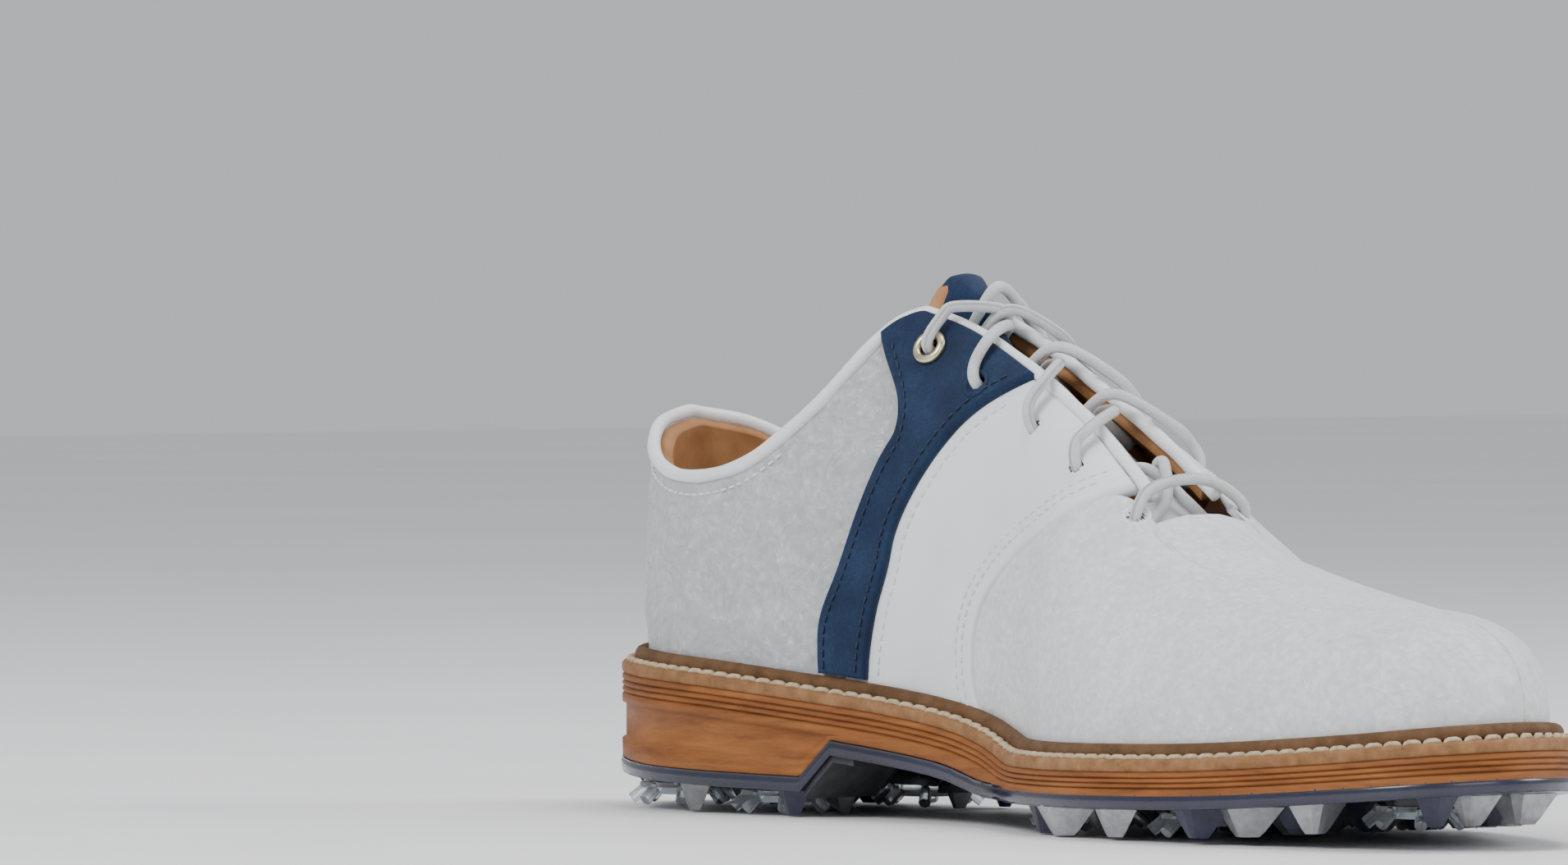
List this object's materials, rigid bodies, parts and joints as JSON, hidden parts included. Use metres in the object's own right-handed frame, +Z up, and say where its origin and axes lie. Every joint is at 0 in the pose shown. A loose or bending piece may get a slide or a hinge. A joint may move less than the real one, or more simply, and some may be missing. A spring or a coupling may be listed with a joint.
{
  "type": "golf shoe",
  "caption": "Saddle-style leather golf shoe, left foot, with storm welt, lugged outsole, twist-in clear cleats, lace and hinged tongue.",
  "frame": {"origin": "bottom centre of the bounding box, on the ground under the cleats", "axes": "+X towards the toe, +Y towards the outer (lateral) side, +Z up"},
  "size_m": [0.304, 0.1042, 0.1193],
  "materials": {
    "navy_tpu": "glossy moulded",
    "lug_silver": "satin metallic paint on moulded lugs",
    "lug_grey": "satin metallic paint on moulded lugs",
    "lug_dark": "satin moulded",
    "breast_rubber": "matt moulded",
    "gunmetal": "satin gunmetal",
    "window_dark": "glossy",
    "receptacle": "satin moulded",
    "tan_eva": "matt moulded foam, wood tone",
    "welt_tan": "matt, fine grain",
    "welt_brown": "matt, fine grain",
    "thread_white": "twisted waxed thread",
    "cork": "granular cork",
    "spring_steel": "brushed",
    "board": "fibre board",
    "footbed_cloth": "brushed knit",
    "tan_leather": "soft lining leather",
    "white_leather": "smooth satin, fine grain",
    "tumbled_leather": "tumbled, pebbled grain",
    "navy_nubuck": "matt nubuck",
    "foam": "open-cell foam",
    "piping_white": "thin rolled leather",
    "grommet_brass": "pale polished",
    "lace_white": "waxed braid",
    "aglet_clear": "clear film over braid",
    "cleat_clear": "clear polyurethane",
    "cleat_white": "frosted translucent"
  },
  "bodies": {
    "shoe": {"outsole": "navy_tpu", "forefoot_lugs_silver": "lug_silver", "forefoot_lugs_dark": "lug_dark", "heel_lugs_silver": "lug_grey", "heel_lugs_dark": "lug_dark", "breast_blocks": "breast_rubber", "shank_bridge": "gunmetal", "shank_window": "window_dark", "cleat_receptacles": "receptacle", "midsole": "tan_eva", "welt_strip": "welt_tan", "storm_welt": "welt_brown", "welt_stitch": "thread_white", "cork_filler": "cork", "shank_spring": "spring_steel", "lasting_board": "board", "footbed": "footbed_cloth", "heel_pad": "tan_leather", "vamp": "white_leather", "vamp_lining": "tan_leather", "toe_puff": "board", "quarter_medial": "tumbled_leather", "quarter_lateral": "tumbled_leather", "saddle_medial": "white_leather", "saddle_lateral": "white_leather", "stripe_medial": "navy_nubuck", "stripe_lateral": "navy_nubuck", "backstay": "tumbled_leather", "heel_counter": "board", "collar_lining": "tan_leather", "collar_foam": "foam", "topline_piping": "piping_white", "eyelet_grommets": "grommet_brass", "lace": "lace_white", "lace_aglets": "aglet_clear"},
    "tongue": {"tongue_face": "navy_nubuck", "tongue_foam": "foam", "tongue_lining": "tan_leather"},
    "cleat_body_1": {"cleat_1": "cleat_clear", "cleat_core_1": "cleat_white"},
    "cleat_body_2": {"cleat_2": "cleat_clear", "cleat_core_2": "cleat_white"},
    "cleat_body_3": {"cleat_3": "cleat_clear", "cleat_core_3": "cleat_white"},
    "cleat_body_4": {"cleat_4": "cleat_clear", "cleat_core_4": "cleat_white"},
    "cleat_body_5": {"cleat_5": "cleat_clear", "cleat_core_5": "cleat_white"},
    "cleat_body_6": {"cleat_6": "cleat_clear", "cleat_core_6": "cleat_white"},
    "cleat_body_7": {"cleat_7": "cleat_clear", "cleat_core_7": "cleat_white"},
    "cleat_body_8": {"cleat_8": "cleat_clear", "cleat_core_8": "cleat_white"},
    "cleat_body_9": {"cleat_9": "cleat_clear", "cleat_core_9": "cleat_white"}
  },
  "joints": [
    {"name": "cleat_1_twist", "type": "hinge", "parent": "shoe", "child": "cleat_body_1", "pos_m": [-0.1205, -0.0175, 0.006], "axis": [0, 0, -1], "range_deg": [0, 60]},
    {"name": "cleat_2_twist", "type": "hinge", "parent": "shoe", "child": "cleat_body_2", "pos_m": [-0.085, -0.0175, 0.006], "axis": [0, 0, -1], "range_deg": [0, 60]},
    {"name": "cleat_3_twist", "type": "hinge", "parent": "shoe", "child": "cleat_body_3", "pos_m": [-0.124, 0.0205, 0.006], "axis": [0, 0, -1], "range_deg": [0, 60]},
    {"name": "cleat_4_twist", "type": "hinge", "parent": "shoe", "child": "cleat_body_4", "pos_m": [-0.088, 0.0265, 0.006], "axis": [0, 0, -1], "range_deg": [0, 60]},
    {"name": "cleat_5_twist", "type": "hinge", "parent": "shoe", "child": "cleat_body_5", "pos_m": [0.021, -0.0215, 0.006], "axis": [0, 0, -1], "range_deg": [0, 60]},
    {"name": "cleat_6_twist", "type": "hinge", "parent": "shoe", "child": "cleat_body_6", "pos_m": [0.073, -0.0335, 0.006], "axis": [0, 0, -1], "range_deg": [0, 60]},
    {"name": "cleat_7_twist", "type": "hinge", "parent": "shoe", "child": "cleat_body_7", "pos_m": [0.1215, -0.016, 0.006], "axis": [0, 0, -1], "range_deg": [0, 60]},
    {"name": "cleat_8_twist", "type": "hinge", "parent": "shoe", "child": "cleat_body_8", "pos_m": [0.073, 0.0235, 0.006], "axis": [0, 0, -1], "range_deg": [0, 60]},
    {"name": "cleat_9_twist", "type": "hinge", "parent": "shoe", "child": "cleat_body_9", "pos_m": [0.018, 0.034, 0.006], "axis": [0, 0, -1], "range_deg": [0, 60]},
    {"name": "tongue_lean", "type": "hinge", "parent": "shoe", "child": "tongue", "pos_m": [0.046, -0.0056, 0.0555], "axis": [0, -1, 0], "range_deg": [0, 10]}
  ]
}
